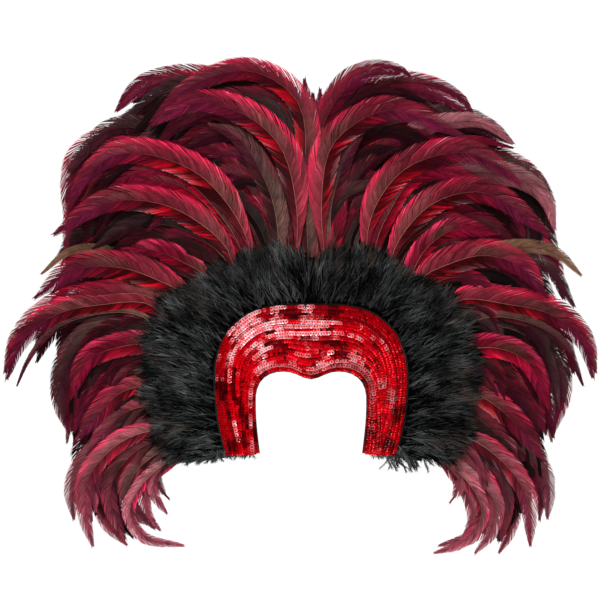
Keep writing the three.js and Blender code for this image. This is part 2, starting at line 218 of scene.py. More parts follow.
# Colours as the eye sees them, 0 to 255, in the order of TONE_PARTS. The first three run along the upper
# vane, and the first is its colour with a painted sheen near the root. The fourth is a painted highlight on
# its outer side. The next two go from the rib to the edge of the lower vane: painted shade, then a red that
# is painted light shining through the thin vane. Fringe is on pale barbs, and is a painted highlight on the
# ragged ends. Faded isn't a row's tone: it is mixed in near the arms' ends.
TONE_PARTS = ["shoulder", "upper", "tip", "edge", "shade", "hem_glow", "fringe"]
TONES = {
    "burgundy": [(142, 42, 57), (116, 26, 43), (92, 14, 44), (226, 36, 78),
                 (58, 1, 7), (198, 4, 30), (240, 170, 176)],
    "crimson": [(120, 10, 36), (104, 6, 30), (120, 10, 42), (255, 58, 108),
                (76, 0, 16), (232, 10, 56), (250, 110, 136)],
    "magenta": [(120, 24, 46), (104, 12, 36), (92, 12, 40), (176, 18, 56),
                (60, 2, 14), (170, 4, 36), (200, 100, 120)],
    "olive": [(108, 74, 68), (90, 56, 54), (76, 22, 38), (122, 52, 60),
              (30, 12, 14), (90, 16, 28), (140, 116, 106)],
    "grey": [(92, 66, 64), (70, 46, 46), (64, 22, 34), (104, 60, 62),
             (24, 12, 14), (64, 20, 28), (134, 116, 110)],
    "rose": [(140, 92, 92), (172, 108, 114), (158, 86, 96), (196, 124, 130),
             (96, 50, 54), (170, 70, 84), (210, 170, 168)],
    "faded": [(194, 120, 128), (182, 96, 110), (162, 72, 88), (244, 74, 112),
              (96, 30, 44), (214, 42, 82), (240, 206, 206)],
    "tan": [(140, 110, 84), (128, 94, 72), (140, 100, 80), (150, 110, 90),
            (90, 58, 44), (130, 60, 52), (206, 176, 150)],
}
RIB_ROOT = (176, 112, 90)
RIB_TIP = (96, 30, 40)
RIB_FADE = (0.35, 0.85)

# Where a vane's colours change, as the shares of its length and of its width from the rib at which a change
# starts and ends, and how strongly the barbs' glow and streak act on the painted highlight of its edge and
# on its red, which is painted light shining through the thin vane.
ALONG = dict(upper=(0.3, 0.62), edge=(1, 0.6), tip=(0.6, 0.95), red=(0.1, 0.3), shade=(0.15, 0.35),
             lower_tip=(0.55, 0.85), root=(0.15, 0.5))
ACROSS = dict(brown=(1, 0.6), rib=(0, 0.5), edge=(0.45, 0.95), tip=(1.1, 0.1), red=(0.1, 0.9),
              upper_pale=(0.2, 0.98), lower_pale=(0.86, 0.98))
RIB_SHADE = 0.5
EDGE_HIGHLIGHT_BASE, EDGE_HIGHLIGHT_GLOW = 0.55, 1.3
RED_BASE, RED_GLOW, RED_STREAK = 0.4, 1.5, 0.8

# Brown patches along the upper vane.
BROWN_PATCH = (92, 70, 60)
BROWN_SHARE = 0.42
BROWN_WAVE = 14
BROWN_RISE = (-0.3, 1)

# A feather's outline, as shares of its length, the power of its taper, and shares of half its width.
VANE_START = 0.12
VANE_FULL = 0.42
VANE_END = 0.99
TAPER_START = 0.42
TAPER_POWER = 3.5
TIP_WIDTH = 0.07
RIB_ASIDE = 0.16
PATH_POINTS = 48

# Its rib: where it ends, its radius at the root and at the end, how many radii its ridge stands out and how
# far back its edges lie.
RIB_END = 0.985
RIB_RADII = (0.75, 0.18)
RIB_HEIGHT = 1.3
RIB_BACK = 0.2
RIB_STATIONS = 22

# Its barbs. One leans towards the tip by BARB_REACH times its width, and by more near the tip. The two vanes
# fall back from the rib by their tilts, and SHINGLE puts one edge of a barb in front of the next.
BARB_STATIONS = np.array([0, 0.42, 0.89, 1.0])
BARB_OPENNESS = np.array([1.3, 1.3, 1.15, 0])
BARB_REACH = 1.9
BARB_BOW = 1.3
BARB_LAG = 0.62
TIP_REACH = 0.25
REACH_SPREAD = 0.05
WIDTH_SPREAD = 0.04
LOOSE_WIDTH = 0.6
UPPER_SPREAD = 1.06
UPPER_TILT = 0.16
LOWER_TILT = 0.3
VANE_CUP = 0.008
SHINGLE = 0.14

# Barbs that lie together are a lock, and share its pull and its light. The pairs are the chance that a barb
# starts a new lock and how much the locks differ. Behind FRONT_SLOPE the pulls and the streaks are weaker.
PULL_LOCK = 0.07
PULLS = [1, 1, 1, 1, 3.2]
LOCK_SHIFT = 1.3
WAVES = (9, 23, 51)
WAVE_SHIFT = 0.5
WAVE_STREAK = 0.06
FINE_STREAK = (0.5, 0.22)
BROAD_STREAK = (0.1, 0.18)
STREAK_LIMITS = (-1, 0.8)
GLOW = (0.07, 0.4)
FRONT_SLOPE = 0.05
BACK_RUFFLE = 0.5

# Single barbs that are dark or pale, as shares of all of them, and the ragged lower edge's pale ends, a
# painted highlight.
DARK_BARBS = 0.025
DARK_STREAK = 0.9
PALE_BARBS = 0.022
PALE_SHARE = 0.55
RAGGED_SHARE = 0.95
RAGGED_LOCK = (0.2, 1)
RAGGED_OVER = 0.1
RAGGED_RISE = (0.26, 0.34)
RAGGED_FALL = (0.62, 0.5)
BACK_RAGGED = 0.35

# Near the arms' ends feathers are faded and slimmer, and the painted shade of under feathers is lighter,
# more so on the left.
LOW_ROSE = 0.75
ROSE_RISE = (0.76, 0.94)
LOW_SLIMMER = 0.28
SLIM_RISE = (0.8, 0.92)
ROSE_WAVE = 0.25
SIDE_ROSE = {-1: 1.3, 1: 1}
SIDE_LIGHTER = {-1: 2.2, 1: 1.5}


def to_linear(color):
    """Display colours of 0 to 255 as scene-linear ones."""
    c = np.asarray(color, float) / 255
    return np.where(c <= 0.04045, c / 12.92, ((c + 0.055) / 1.055) ** 2.4)


def smoothstep(value, low, high):
    t = np.clip((value - low) / (high - low), 0, 1)
    return t * t * (3 - 2 * t)


def mix(a, b, share):
    return a + (b - a) * share


def bowed(t, slope):
    """From 0 to 1 as t does, with this slope at its start."""
    return t * mix(slope, 1, t)


def unit(vectors):
    return vectors / np.linalg.norm(vectors, axis=-1, keepdims=True)


def distances(points):
    """How far along their line each of the points is."""
    return np.concatenate([[0], np.cumsum(np.linalg.norm(np.diff(points, axis=0), axis=1))])


def read_off(at, places, points):
    """The points at some places along a line whose own points have the given places."""
    return np.stack([np.interp(at, places, column) for column in points.T], -1)


def catmull_rom(points, steps=14):
    """Points along the centripetal Catmull-Rom curve through the given ones."""
    p = np.asarray(points, float)
    p = np.vstack([2 * p[0] - p[1], p, 2 * p[-1] - p[-2]])
    t = np.linspace(0, 1, steps, endpoint=False)[:, None]
    found = []
    for a, b, c, d in zip(p, p[1:], p[2:], p[3:]):
        ab, bc, cd = (math.sqrt(np.linalg.norm(v)) for v in (b - a, c - b, d - c))
        leave = ((b - a) / ab - (c - a) / (ab + bc) + (c - b) / bc) * bc
        arrive = ((c - b) / bc - (d - b) / (bc + cd) + (d - c) / cd) * bc
        found.append((2 * t**3 - 3 * t**2 + 1) * b + (t**3 - 2 * t**2 + t) * leave
                     + (3 * t**2 - 2 * t**3) * c + (t**3 - t**2) * arrive)
    return np.vstack([*found, p[-2]])


class Line:
    """A curve in the front plane, read at any share of its length and carried on straight past its end."""

    def __init__(self, points, count=160):
        along = distances(points)
        self.length = along[-1]
        self.shares = np.linspace(0, 1, count)
        self.points = read_off(self.shares * self.length, along, points)
        self.tangents = unit(np.gradient(self.points, axis=0))

    def point(self, share):
        share = np.asarray(share, float)
        over = np.maximum(0, share - 1)[..., None] * self.length
        return read_off(share, self.shares, self.points) + over * self.tangents[-1]

    def beside(self, share, outward):
        tangent = read_off(share, self.shares, self.tangents)
        normal = np.stack([-tangent[..., 1], tangent[..., 0]], -1)
        return self.point(share) + np.asarray(outward)[..., None] * normal


BAND_OUTER_LINE = Line(catmull_rom(BAND_OUTER))
BAND_INNER_LINE = Line(catmull_rom(BAND_INNER))
TRIM_OUTER_LINE = Line(catmull_rom(TRIM_OUTER))


def sheet_y(x, z, slope):
    """The curved sheet that a feather lies in, as in the CAD."""
    rise = np.maximum(0, z - FAN_CENTRE_Z) * FAN_SQUASH
    out = np.maximum(0, np.hypot(x, rise) - FAN_EDGE)
    bent = np.minimum(out, FAN_SWEEP_REACH)
    sweep = (bent * bent / 2 + (out - bent) * FAN_SWEEP_REACH) / FAN_SWEEP_RADIUS
    spread = out + FAN_KICK * (1 - np.exp(-out / FAN_KICK_REACH))
    return -BACKING_THICK - GAP - QUILL_THICK / 2 + slope * spread + sweep


def add_object(name, data):
    made = bpy.data.objects.new(name, data)
    bpy.context.scene.collection.objects.link(made)
    return made


class Pile:
    """Points, faces and colours that are gathered for one mesh."""

    def __init__(self):
        self.points, self.colors, self.quads, self.triangles = [], [], [], []
        self.count = 0

    def add(self, points, colors, quads, triangles=()):
        if len(quads):
            self.quads.append(np.asarray(quads) + self.count)
        if len(triangles):
            self.triangles.append(np.asarray(triangles) + self.count)
        self.points.append(points)
        self.colors.append(colors)
        self.count += len(points)

    def build(self, name, material, smooth=False):
        points = np.concatenate(self.points) * MM
        faces = [np.concatenate(f) for f in (self.quads, self.triangles) if f]
        corners = np.concatenate([f.ravel() for f in faces])
        sizes = np.concatenate([np.full(len(f), f.shape[1]) for f in faces])
        mesh = bpy.data.meshes.new(name)
        mesh.vertices.add(len(points))
        mesh.vertices.foreach_set("co", points.ravel())
        mesh.loops.add(len(corners))
        mesh.loops.foreach_set("vertex_index", corners.astype(np.int32))
        mesh.polygons.add(len(sizes))
        mesh.polygons.foreach_set("loop_start", (np.cumsum(sizes) - sizes).astype(np.int32))
        mesh.polygons.foreach_set("use_smooth", np.full(len(sizes), smooth))
        mesh.update(calc_edges=True)
        mesh.validate()
        colors = np.concatenate(self.colors)
        rgba = np.column_stack([colors, np.ones(len(colors))])
        layer = mesh.color_attributes.new("tint", "FLOAT_COLOR", "POINT")
        layer.data.foreach_set("color", rgba.ravel())
        mesh.materials.append(material)
        piece = add_object(name, mesh)
        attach(piece, "root")
        return piece


def ring_quads(count, size):
    """The faces between neighbouring rings of points, for a number of closed rings of one size."""
    start = np.arange(count - 1)[:, None] * size
    here, after = np.arange(size), (np.arange(size) + 1) % size
    quads = np.stack([start + here, start + after, start + after + size, start + here + size], -1)
    return quads.reshape(-1, 4)


def both_sides(right):
    """Rings from the right arm's end over the top to the left arm's end, from those of the right side."""
    return np.concatenate([right[::-1], right[1:] * [-1, 1, 1]])


def half_width(share, width):
    """Half the width of a feather, which opens from its quill and tapers to its tip."""
    opened = mix(QUILL_WIDTH, width, smoothstep(share, VANE_START, VANE_FULL))
    taper = np.clip((share - TAPER_START) / (1 - TAPER_START), 0, 1)
    return opened / 2 * (1 - (1 - TIP_WIDTH) * taper**TAPER_POWER)


def locks(rng, count, change, strength):
    """A random number for each barb, the same for the neighbours that lie together in one lock."""
    lock = np.cumsum(rng.uniform(0, 1, count) < change)
    return strength * rng.standard_normal(lock[-1] + 1)[lock]


def tone_colors(tone, rose, dim):
    """A tone's linear colours by the names of their parts, faded to rose and dimmed."""
    rows = zip(TONE_PARTS, TONES[tone], TONES["faded"])
    return {part: mix(to_linear(own), to_linear(pale), rose) * dim for part, own, pale in rows}


class Feather:
    """One tail feather: its middle line, its place in the fan and its looks."""

    def __init__(self, path, width, slope, side, tone, seed, spacing, dim=1.0, root_light=1.0, rose=0.0):
        self.line = Line(path, PATH_POINTS)
        self.width, self.slope, self.side = width, slope, side
        self.tone = tone_colors(tone, rose, dim)
        self.dim, self.spacing, self.root_light = dim, spacing, root_light
        self.rng = np.random.default_rng(seed)
        self.phase = self.rng.uniform(0, 6.3)
        self.in_front = slope < FRONT_SLOPE
        self.ruffle = 1.0 if self.in_front else BACK_RUFFLE

    def place(self, share, aside, back):
        """Points at a share of the length, moved aside from the middle line and back from the sheet."""
        base = self.line.point(share)
        at = self.line.beside(share, aside)
        y = sheet_y(base[..., 0], base[..., 1], self.slope)
        return np.stack([at[..., 0] * self.side, y + back, at[..., 1]], -1)

    def rib(self, share):
        return -RIB_ASIDE * half_width(share, self.width)

    def vane_color(self, share, across, upper, streak, glow, pale):
        """Colours at shares of the length and across the vane. Streak and glow are lights for each barb,
        near 0, and pale marks the pale barbs and the ragged lower ends that carry a painted highlight."""
        tone = self.tone
        share, across = share[..., None], across[..., None]
        streak, glow, pale = (light[:, None, None] for light in (streak, glow, pale))
        if upper:
            # The upper vane starts with a painted sheen near its root, which gives way to the upper colour.
            color = mix(tone["shoulder"], tone["upper"], smoothstep(share, *ALONG["upper"]))
            brown = smoothstep(np.sin(share * BROWN_WAVE + self.phase), *BROWN_RISE)
            brown = brown * smoothstep(across, *ACROSS["brown"])
            color = mix(color, to_linear(BROWN_PATCH) * self.dim, BROWN_SHARE * brown)
            color = mix(color * RIB_SHADE, color, smoothstep(across, *ACROSS["rib"]))
            # A painted highlight along the vane's outer side, in the edge colour.
            edge = smoothstep(across, *ACROSS["edge"]) * smoothstep(share, *ALONG["edge"])
            color = mix(color, tone["edge"], edge * np.clip(EDGE_HIGHLIGHT_BASE + EDGE_HIGHLIGHT_GLOW * glow, 0, 1))
            tip = smoothstep(share, *ALONG["tip"]) * smoothstep(across, *ACROSS["tip"])
        else:
            # The lower vane: painted shade from the rib, then a red towards its edge that is painted light
            # shining through the thin vane.
            color = mix(tone["upper"], tone["shade"], smoothstep(share, *ALONG["shade"]))
            red = smoothstep(across, *ACROSS["red"]) * smoothstep(share, *ALONG["red"])
            red = np.clip(red * (RED_BASE + RED_GLOW * glow + RED_STREAK * streak), 0, 1)
            color = mix(color, tone["hem_glow"], red)
            tip = smoothstep(share, *ALONG["lower_tip"])
        color = mix(color, tone["tip"], tip)
        # Pale barbs, and a painted highlight on the ragged ends of the lower vane.
        pale_and_highlit = pale * smoothstep(across, *ACROSS["upper_pale" if upper else "lower_pale"])
        color = mix(color, tone["fringe"], pale_and_highlit)
        # root_light darkens the vane towards its root, a painted shade that only under feathers get.
        return color * mix(self.root_light, 1, smoothstep(share, *ALONG["root"])) * np.exp(streak)

    def barb_lights(self, roots, wave, upper):
        """The streak, the glow and the paleness of each barb, for vane_color."""
        rng, count = self.rng, len(roots)
        ruffled = locks(rng, count, *FINE_STREAK) + locks(rng, count, *BROAD_STREAK)
        streak = WAVE_STREAK * wave + self.ruffle * ruffled
        streak = streak - DARK_STREAK * (rng.uniform(0, 1, count) < DARK_BARBS)
        glow = locks(rng, count, *GLOW)
        pale = PALE_SHARE * (rng.uniform(0, 1, count) < PALE_BARBS)
        if not upper:
            # Pale ends of the ragged lower edge: a painted highlight.
            ragged = smoothstep(roots, *RAGGED_RISE) * smoothstep(roots, *RAGGED_FALL)
            ragged = ragged * (1 if self.in_front else BACK_RAGGED)
            ragged = ragged * (locks(rng, count, *RAGGED_LOCK) > RAGGED_OVER)
            pale = np.minimum(1, pale + RAGGED_SHARE * ragged)
        return np.clip(streak, *STREAK_LIMITS), glow, pale

    def add_vane(self, pile, upper):
        length, rng = self.line.length, self.rng
        first, last = VANE_START * length, VANE_END * length
        count = int((last - first) / self.spacing)
        roots = np.linspace(first, last, count) / length
        sign = 1 if upper else -1
        reach = BARB_REACH * (1 + TIP_REACH * smoothstep(roots, 0.5, 1))
        reach = reach * (1 + REACH_SPREAD * rng.standard_normal(count))
        start = self.rib(roots)
        width = np.abs(sign * half_width(roots, self.width) - start)
        for _ in range(3):
            tip = np.minimum(1.0, roots + reach * width / length)
            width = np.abs(sign * half_width(tip, self.width) - start)
        width = width * (1 + WIDTH_SPREAD * rng.standard_normal(count))
        width = width * (UPPER_SPREAD if upper else 1) + LOOSE_WIDTH
        wave = sum(rng.uniform(0.3, 1) * np.sin(roots * f + rng.uniform(0, 6.3)) for f in WAVES)
        lock = np.cumsum(rng.uniform(0, 1, count) < PULL_LOCK)
        pull = rng.uniform(-1, 1, lock[-1] + 1) * rng.choice(PULLS, lock[-1] + 1)
        pull = pull[lock] * self.ruffle
        t = BARB_STATIONS[None, :]
        lateral = width[:, None] * bowed(t, BARB_BOW)
        forward = (reach * width)[:, None] * bowed(t, BARB_LAG)
        forward = forward + (wave * WAVE_SHIFT + pull * LOCK_SHIFT)[:, None] * t**2
        share = roots[:, None] + forward / length
        aside = start[:, None] + sign * lateral
        half = self.spacing / 2 * BARB_OPENNESS[None, :] / length
        back = (UPPER_TILT if upper else LOWER_TILT) * lateral + VANE_CUP * lateral**2
        across = t * np.ones((count, 1))
        color = self.vane_color(share, across, upper, *self.barb_lights(roots, wave, upper))
        before = self.place(share - half, aside, back - SHINGLE)
        after = self.place(share + half, aside, back + SHINGLE)
        points = np.stack([before[:, :3], after[:, :3]], 2).reshape(count, 6, 3)
        points = np.concatenate([points, after[:, 3:]], 1)
        colors = np.concatenate([np.repeat(color[:, :3], 2, 1), color[:, 3:]], 1)
        base = np.arange(count)[:, None] * 7
        quads = np.concatenate([base + [0, 1, 3, 2], base + [2, 3, 5, 4]])
        pile.add(points.reshape(-1, 3), colors.reshape(-1, 3), quads, base + [4, 5, 6])

    def add_rib(self, pile):
        share = np.linspace(0, RIB_END, RIB_STATIONS)
        radius = mix(*RIB_RADII, share**0.6)
        middle = self.rib(share)
        left = self.place(share, middle + radius, RIB_BACK)
        top = self.place(share, middle, -radius * RIB_HEIGHT)
        right = self.place(share, middle - radius, RIB_BACK)
        points = np.stack([left, top, right], 1).reshape(-1, 3)
        color = mix(to_linear(RIB_ROOT), to_linear(RIB_TIP), smoothstep(share, *RIB_FADE)[:, None])
        rows = np.arange(RIB_STATIONS - 1)[:, None] * 3
        quads = np.concatenate([rows + [0, 1, 4, 3], rows + [1, 2, 5, 4]])
        pile.add(points, np.repeat(color * self.dim, 3, 0), quads)

    def add_to(self, pile):
        self.add_vane(pile, True)
        self.add_vane(pile, False)
        self.add_rib(pile)


def row_path(row):
    """The whole middle line of a table row, from its root on the backing to its tip."""
    root = BAND_OUTER_LINE.beside(row.at, QUILL_OFFSET)
    return catmull_rom([root, *row.path])


def fan_slope(tier, side):
    """The slope of a tier, or of a place between two. The right side lies a little deeper."""
    slope = mix(TIER_SLOPES[0], TIER_SLOPES[-1], tier / (len(TIER_SLOPES) - 1))
    return slope + (RIGHT_SIDE_SLOPE if side > 0 else 0)


def fill(node, inputs):
    """The node, once its inputs have the values that are given by their names."""
    for name, value in dict(inputs).items():
        node.inputs[name].default_value = value
    return node


class Surface:
    """A material, with the nodes that give it its colour and relief."""

    def __init__(self, name, inputs):
        self.material = bpy.data.materials.new(name)
        self.material.use_nodes = True
        self.tree = self.material.node_tree
        self.shader = fill(self.tree.nodes["Principled BSDF"], inputs)

    def node(self, kind, inputs=()):
        return fill(self.tree.nodes.new("ShaderNode" + kind), inputs)

    def link(self, source, output, target, entry):
        self.tree.links.new(source.outputs[output], target.inputs[entry])

    def tint(self):
        tint = self.node("VertexColor")
        tint.layer_name = "tint"
        return tint

    def pattern(self, kind, inputs):
        """A pattern that is fixed to the piece."""
        pattern = self.node(kind, inputs)
        self.link(self.node("TexCoord"), "Object", pattern, "Vector")
        return pattern

    def color_by(self, pattern, dark, light):
        ramp = self.node("ValToRGB")
        for element, color in zip(ramp.color_ramp.elements, (dark, light)):
            element.color = (*color, 1)
        self.link(pattern, "Fac", ramp, "Fac")
        self.link(ramp, "Color", self.shader, "Base Color")

    def relief_by(self, pattern, strength, distance):
        bump = self.node("Bump", {"Strength": strength, "Distance": distance})
        self.link(pattern, "Fac", bump, "Height")
        self.link(bump, "Normal", self.shader, "Normal")


# The noise that varies a tint: its scale, its lowest and highest value that count, and the light at each.
FEATHER_NOISE = (90, 0.3, 0.7, 0.8, 1.2)
FLUFF_NOISE = (32, 0.32, 0.68, 0.35, 1.7)


def tinted_material(name, noise, specular):
    """A matt surface in each point's own tint, made darker and lighter by a noise."""
    surface = Surface(name, {"Roughness": 0.5, "Specular IOR Level": specular})
    scale, low, high, dark, light = noise
    pattern = surface.pattern("TexNoise", {"Scale": scale, "Detail": 4})
    level = surface.node("MapRange", {"From Min": low, "From Max": high, "To Min": dark, "To Max": light})
    scaled = surface.node("VectorMath")
    scaled.operation = "SCALE"
    surface.link(pattern, "Fac", level, "Value")
    surface.link(surface.tint(), "Color", scaled, 0)
    surface.link(level, "Result", scaled, "Scale")
    surface.link(scaled, "Vector", surface.shader, "Base Color")
    return surface.material


# The seeds, the spacing of the barbs and the light of the long and the extra feathers.
LONG_SEED, LONG_SPACING = 1000, 1.3
EXTRA_SEED, EXTRA_SPACING, EXTRA_LIGHT = 700, 1.6, 0.85


def faded(at):
    """How far a feather is faded to rose. Those near the arms' ends are."""
    return LOW_ROSE * float(smoothstep(at, *ROSE_RISE))


def slimmed(at):
    """The share of its width that a feather keeps. Those near the arms' ends are slimmer."""
    return 1 - LOW_SLIMMER * float(smoothstep(at, *SLIM_RISE))


def make_long_feathers(material):
    """One piece for each long feather, in the place of its CAD blade."""
    for word, side, rows, _ in SIDES:
        for number, row in enumerate(rows, 1):
            pile = Pile()
            seed = LONG_SEED + number * 2 + (side > 0)
            rose = faded(row.at) * SIDE_ROSE[side] * mix(1, math.cos(number * 2), ROSE_WAVE)
            Feather(row_path(row), row.width * slimmed(row.at), fan_slope(row.tier, side), side, row.tone,
                    seed, LONG_SPACING, rose=rose).add_to(pile)
            piece = pile.build(f"feather_{word}_{number:02d}", material)
            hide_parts(f"coque_{word}_{number:02d}")


def make_extra_feathers(material):
    for word, side, _, rows in SIDES:
        pile = Pile()
        for number, row in enumerate(rows):
            seed = EXTRA_SEED + number * 2 + side
            Feather(row_path(row), row.width, fan_slope(row.tier, side), side, row.tone, seed,
                    EXTRA_SPACING, EXTRA_LIGHT, rose=faded(row.at)).add_to(pile)
        piece = pile.build(f"extra_feathers_{word}", material)


def between(rows, at, count=24):
    """The middle line and the tier between those of the two rows whose roots are next to a place."""
    rows = sorted(rows, key=lambda row: row.at)
    places = [row.at for row in rows]
    k = int(np.clip(np.searchsorted(places, at), 1, len(rows) - 1))
    share = np.clip((at - places[k - 1]) / (places[k] - places[k - 1]), 0, 1)
    lines = [Line(row_path(row), count).points for row in rows[k - 1:k + 1]]
    return mix(*lines, share), mix(rows[k - 1].tier, rows[k].tier, share)


# Feathers that fill the fan between and behind the long ones. The columns are the piece's name, which table
# rows they lie between, how many there are on a side, their least and greatest reach as a share of those
# rows', their least and greatest width, how much deeper their slope is, and their light, a painted shade
# that is darkest in the deepest layers.
UNDER_LAYERS = [
    ("short", "front", 26, 0.5, 0.72, 26, 34, 0.04, 0.42),
    ("front", "front", 32, 0.76, 0.93, 28, 36, 0.05, 0.34),
    ("middle", "back", 36, 0.74, 0.95, 30, 40, 0.03, 0.16),
    ("back", "back", 56, 0.86, 0.99, 32, 42, 0.05, 0.38),
    ("deep", "back", 34, 0.72, 0.94, 42, 52, 0.08, 0.06),
]
UNDER_TONES = ["burgundy", "burgundy", "crimson", "crimson", "magenta", "grey", "olive", "olive"]
DULL_TONES = ["grey", "olive"]
UNDER_SEED = 50
UNDER_SPACING = 2.4
# Under feathers are darker towards their roots: painted shade where the trim and the feathers in front cover
# them.
UNDER_ROOT_LIGHT = 0.35
UNDER_TURN = 4
UNDER_SLOPES = (-0.015, 0.02)
UNDER_LIGHTS = (0.2, 1.7)
UNDER_ROSE = (0.1, 1.2)
DULL_ROSE = 0.4
BACK_TIER = 2

# The share of the arch that they grow on, and the stretch of it that the front ones leave free.
UNDER_START, UNDER_REACH = 0.01, 0.93
UNDER_GAP = (0.595, 0.665)


def make_under_feathers(material):
    for word, side, rows, _ in SIDES:
        families = {"front": [row for row in rows if row.tier < BACK_TIER],
                    "back": [row for row in rows if row.tier >= BACK_TIER]}
        for layer, (name, family, count, low, high, thin, wide, deeper, light) in enumerate(UNDER_LAYERS):
            rng = np.random.default_rng(UNDER_SEED + layer * 2 + (side > 0))
            pile = Pile()
            for i in range(count):
                at = (i + rng.uniform(0.1, 0.9)) / count * UNDER_REACH + UNDER_START
                if family == "front" and UNDER_GAP[0] < at < UNDER_GAP[1]:
                    continue
                path, tier = between(families[family], at)
                reach = rng.uniform(low, high)
                turn = math.radians(rng.uniform(-UNDER_TURN, UNDER_TURN))
                turned = np.array([[math.cos(turn), -math.sin(turn)], [math.sin(turn), math.cos(turn)]])
                path = path[0] + (path - path[0]) * reach @ turned.T
                slope = fan_slope(max(tier, 1), side) + deeper + rng.uniform(*UNDER_SLOPES)
                tone = UNDER_TONES[rng.integers(len(UNDER_TONES))]
                width = rng.uniform(thin, wide) * slimmed(at)
                seed = int(rng.integers(1 << 30))
                # The dim of a feather is painted shade: its layer's light, a random part, and less shade
                # near the arms' ends.
                shade = min(1, light * rng.uniform(*UNDER_LIGHTS) * (1 + faded(at) * SIDE_LIGHTER[side]))
                rose = faded(at) * rng.uniform(*UNDER_ROSE) * (DULL_ROSE if tone in DULL_TONES else 1)
                Feather(path, width, slope, side, tone, seed, UNDER_SPACING, shade, UNDER_ROOT_LIGHT,
                        rose).add_to(pile)
            piece = pile.build(f"under_feathers_{word}_{name}", material)


TRIM_SEED = 300
TRIM_FEATHERS = 620
TRIM_REAR_Y = -4
FLUFF_COLOR = (2, 2, 3)
FLUFF_SHINE = (92, 94, 94)
FLUFF_BROWN = (74, 58, 50)
BROWN_CHANCE, BROWN_DEPTH = 0.16, 0.8

# How a trim feather lies. The values are for the deepest layer and for the front one, and then the least and
# the greatest random change. Start and stop are shares of the trim's width.
TRIM_START = (0.3, -0.03, -0.02, 0.04)
TRIM_STOP = (1.02, 0.62, -0.1, 0.08)
TRIM_HEIGHT = (0.7, 1.0, -0.06, 0.03)
TRIM_SWAY, SWAY_SPREAD, SWAY_POWER = 0.02, 0.014, 1.6
TRIM_FIRST, TRIM_SPAN, TRIM_LIMIT = 0.005, 0.99, 1.04

# Its barbs, in millimetres and degrees. The angle and the rise are a mean and a spread. Barbs near the arms'
# ends are shorter and shine more.
FLUFF_SPACING = 2.3
FLUFF_STEPS = 9
FLUFF_BARB = (18, 30)
FLUFF_ANGLE = (13, 5)
FLUFF_RISE = (-0.04, 0.07)
FLUFF_HALF_WIDTH = (0.35, 0.6)
FLUFF_STATIONS = ((0, 1.0), (0.55, 0.8))
FLUFF_LOCK = (0.5, 0.28)
FLUFF_LIGHTS = np.array([0.5, 0.5, 1.0, 1.0, 0.9])
LOW_RISE = (0.86, 1)
LOW_SHORTER = 0.4
LOW_SHINE = 0.2

# The shine's middle, its wave along the trim and its spread, and how each side's shine is scaled and grows.
SHINE_MIDDLE, SHINE_WAVE, SHINE_SPREAD = -0.04, 0.14, 0.36
SIDE_SHINE = {-1: (1, 0.12), 1: (0.85, 0)}

# Loose wisps at the trim's lower ends. Those with a place under 0 hang from behind the band's arm, and the
# right end has a longer tuft beside that arm. The lean and the bend are a mean and a spread.
END_WISPS = 70
WISP_ROOT = 0.985
WISP_PLACES = (-0.45, 0.85)
WISP_DROP = (5, 15)
WISP_LEAN = (0.4, 0.35)
WISP_BEND = (0.1, 0.35)
HIDDEN_DROP = 0.6
HIDDEN_Y, WISP_Y, WISP_Y_SPREAD = -4.5, -14, 6
TUFT_FROM, TUFT_TO, TUFT_LONGER = -0.2, 0.45, 1.7
WISP_BARB = (5, 9)
WISP_SHINE = (0.2, 1)
WISP_SPACING = 1.0
WISP_THICK = 0.45

# The section of the trim's dark core: how far across the trim its corners are, and their depth.
CORE_ACROSS = np.array([0.02, 0.1, 0.25, 0.5, 0.75, 0.9, 0.93, 0.5, 0.15, 0.02])
CORE_Y = np.array([-5, -7, -14, -22, -20, -13, -10, -8, -5, -4])
CORE_END = 0.97
CORE_STATIONS = 40
CORE_COLOR = (8, 8, 8)


def trim_y(across):
    return np.interp(across, TRIM_ACROSS, TRIM_FRONT_Y)


def trim_path(at, side, start, stop, height, sway):
    """The middle line of a trim feather, from a share of the trim's width to another one."""
    u = np.linspace(0, 1, FLUFF_STEPS)
    across = mix(start, stop, u)
    share = np.clip(at + sway * u**SWAY_POWER, 0, TRIM_LIMIT)
    near = BAND_OUTER_LINE.beside(np.minimum(share, 1), TRIM_GAP)
    flat = mix(near, TRIM_OUTER_LINE.point(share), across[:, None])
    y = mix(TRIM_REAR_Y, trim_y(np.minimum(across, 1)), height)
    return np.stack([flat[:, 0] * side, y, flat[:, 1]], -1)


def end_path(rng, side):
    """The middle line of a loose wisp at the trim's lower end."""
    across = rng.uniform(*WISP_PLACES)
    root = mix(BAND_OUTER_LINE.point(WISP_ROOT), TRIM_OUTER_LINE.point(WISP_ROOT), across)
    drop = rng.uniform(*WISP_DROP)
    if side > 0 and TUFT_FROM < across < TUFT_TO:
        drop *= TUFT_LONGER
    elif across < 0:
        drop *= HIDDEN_DROP
    lean = rng.normal(*WISP_LEAN)
    bend = rng.normal(*WISP_BEND)
    u = np.linspace(-0.5, 1, FLUFF_STEPS)
    x = root[0] + drop * (lean * u + bend * u**2)
    z = root[1] - drop * u
    front = HIDDEN_Y if across < 0 else WISP_Y + rng.uniform(-WISP_Y_SPREAD, WISP_Y_SPREAD)
    return np.stack([x * side, np.full(FLUFF_STEPS, front), z], -1)


